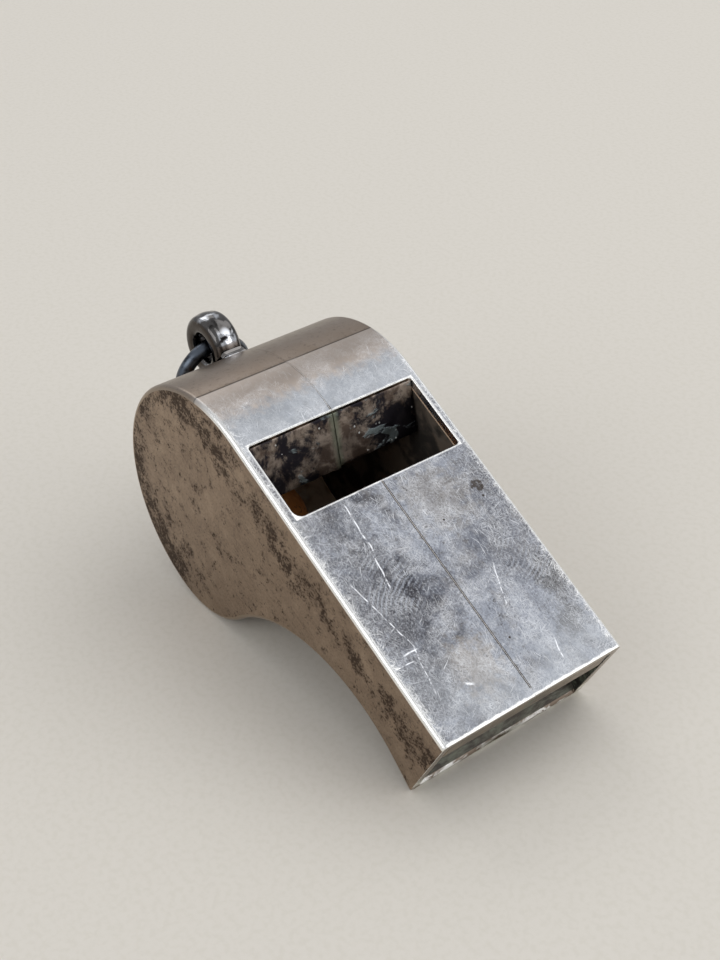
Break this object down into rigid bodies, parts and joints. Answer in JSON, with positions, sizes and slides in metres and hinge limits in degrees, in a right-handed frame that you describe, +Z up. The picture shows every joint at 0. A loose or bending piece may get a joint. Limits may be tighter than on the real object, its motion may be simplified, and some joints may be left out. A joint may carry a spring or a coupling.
{
  "type": "pea whistle",
  "caption": "Pressed-metal pea whistle with a round barrel, flared mouthpiece, sounding window with a sloping labium, loose cork pea and a lanyard loop with a wire ring.",
  "frame": {"origin": "on the ground, under the middle of the whole whistle's bounding box", "axes": "+X forward to the mouth, +Y across the body to the whistle's right side when blown, +Z up; the whistle rests on its toe and its lower lip with the top plate sloping down to the mouth"},
  "size_m": [0.0494, 0.02, 0.0245],
  "materials": {
    "worn_plate": "worn silver-grey plating over brass sheet, scratched on the flats, bright on the edges, brown tarnish spots on the cheeks",
    "tarnished_plate": "the same plating, brown and blue-black with tarnish, with grey solder",
    "dark_plate": "dark oxidised plating, rubbed smooth and glossy",
    "dark_steel": "dark bluish drawn wire",
    "cork": "matt orange-brown cork"
  },
  "bodies": {
    "body": {"left_half_shell": "worn_plate", "right_half_shell": "worn_plate", "left_labium_ramp": "tarnished_plate", "right_labium_ramp": "tarnished_plate", "windway_roof": "tarnished_plate", "loop_saddle": "worn_plate", "lanyard_loop": "dark_plate"},
    "ring": {"jump_ring": "dark_steel"},
    "pea": {"cork_pea": "cork"}
  },
  "joints": [
    {"name": "ring_swing", "type": "hinge", "parent": "body", "child": "ring", "pos_m": [-0.02149, 0, 0.02078], "axis": [0, 1, 0], "range_deg": [0, 230]},
    {"name": "pea_roll", "type": "hinge", "parent": "body", "child": "pea", "pos_m": [-0.00937, 0, 0.01211], "axis": [0, 1, 0], "range_deg": [0, 180]}
  ]
}
